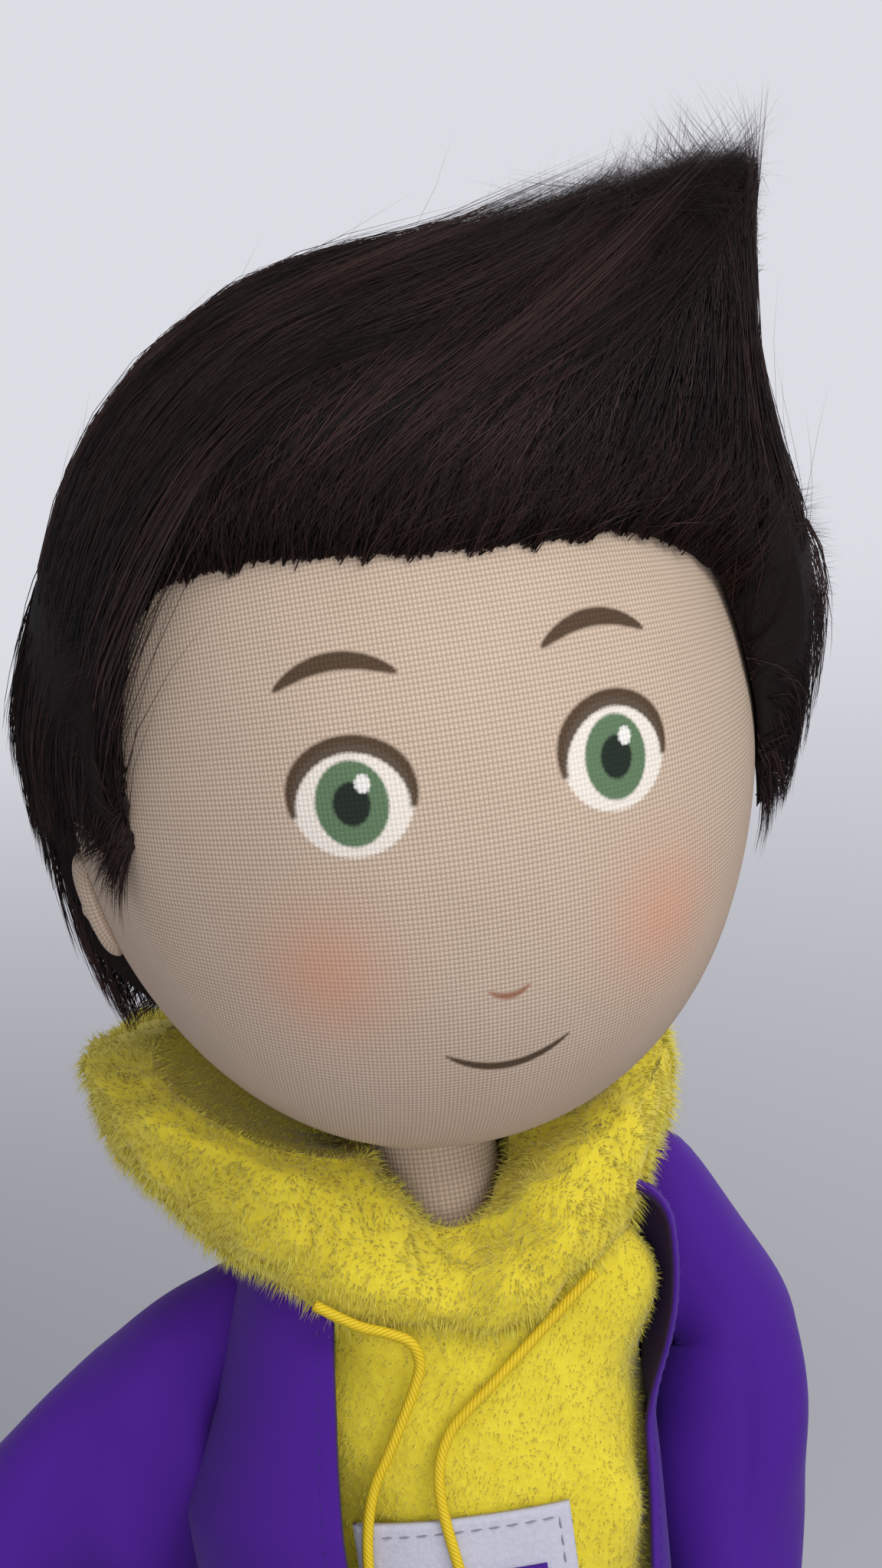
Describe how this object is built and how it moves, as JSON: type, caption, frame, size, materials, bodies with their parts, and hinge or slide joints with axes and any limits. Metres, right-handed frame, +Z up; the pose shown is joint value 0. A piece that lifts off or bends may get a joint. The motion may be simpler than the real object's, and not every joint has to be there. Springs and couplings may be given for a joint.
{
  "type": "cloth doll",
  "caption": "Standing stuffed cloth doll with swept fibre hair, a plush hoodie under an open cotton jacket, and head, arms and legs that turn.",
  "frame": {"origin": "on the floor between the two soles, straight under the axis of the neck", "axes": "+Z up along the neck; the doll faces -Y and its own left side is at +X"},
  "size_m": [0.1794, 0.1049, 0.3903],
  "materials": {
    "skin_cotton": "plain-weave beige cotton, matt",
    "brown_fibre_hair": "long dark-brown fibre pile, brushed",
    "yellow_plush": "short yellow plush pile",
    "yellow_rib_knit": "yellow rib knit",
    "yellow_cord": "thin amber cord with a soft sheen",
    "purple_cotton": "plain purple cotton",
    "grey_felt": "pale grey felt",
    "dark_trouser_cotton": "dark cotton twill",
    "grey_shoe_cloth": "dark grey canvas",
    "white_sole_rubber": "off-white foam rubber",
    "beech_dowel": "plain beech",
    "nylon_thread": "waxed nylon"
  },
  "bodies": {
    "torso": {"torso": "skin_cotton", "neck": "skin_cotton", "neck_dowel": "beech_dowel", "shoulder_thread": "nylon_thread", "trousers_seat": "dark_trouser_cotton", "hoodie_body": "yellow_plush", "hoodie_hem": "yellow_rib_knit", "chest_patch": "grey_felt", "hood": "yellow_plush", "jacket_back": "purple_cotton", "jacket_front_left": "purple_cotton", "jacket_front_right": "purple_cotton", "drawstring_left": "yellow_cord", "drawstring_right": "yellow_cord", "drawstring_knot_left": "yellow_cord", "drawstring_knot_right": "yellow_cord"},
    "head": {"head": "skin_cotton", "ear_left": "skin_cotton", "ear_right": "skin_cotton", "hair_top": "brown_fibre_hair", "hair_side_left": "brown_fibre_hair", "hair_side_right": "brown_fibre_hair", "hair_back": "brown_fibre_hair"},
    "arm_left": {"arm_left": "skin_cotton", "hoodie_sleeve_left": "yellow_plush", "hoodie_cuff_left": "yellow_rib_knit", "jacket_sleeve_left": "purple_cotton"},
    "leg_left": {"leg_left": "skin_cotton", "trouser_leg_left": "dark_trouser_cotton", "shoe_upper_left": "grey_shoe_cloth", "shoe_sole_left": "white_sole_rubber"},
    "arm_right": {"arm_right": "skin_cotton", "hoodie_sleeve_right": "yellow_plush", "hoodie_cuff_right": "yellow_rib_knit", "jacket_sleeve_right": "purple_cotton"},
    "leg_right": {"leg_right": "skin_cotton", "trouser_leg_right": "dark_trouser_cotton", "shoe_upper_right": "grey_shoe_cloth", "shoe_sole_right": "white_sole_rubber"}
  },
  "joints": [
    {"name": "neck_turn", "type": "hinge", "parent": "torso", "child": "head", "pos_m": [0, 0, 0.2645], "axis": [0, 0, 1], "range_deg": [-42, 18]},
    {"name": "shoulder_swing_left", "type": "hinge", "parent": "torso", "child": "arm_left", "pos_m": [0.0216, 0.004, 0.2378], "axis": [1, 0, 0], "range_deg": [-85, 40]},
    {"name": "shoulder_swing_right", "type": "hinge", "parent": "torso", "child": "arm_right", "pos_m": [-0.0216, 0.004, 0.2378], "axis": [1, 0, 0], "range_deg": [-85, 40]},
    {"name": "hip_swing_left", "type": "hinge", "parent": "torso", "child": "leg_left", "pos_m": [0.013, 0, 0.128], "axis": [1, 0, 0], "range_deg": [-80, 20]},
    {"name": "hip_swing_right", "type": "hinge", "parent": "torso", "child": "leg_right", "pos_m": [-0.013, 0, 0.128], "axis": [1, 0, 0], "range_deg": [-80, 20]}
  ]
}
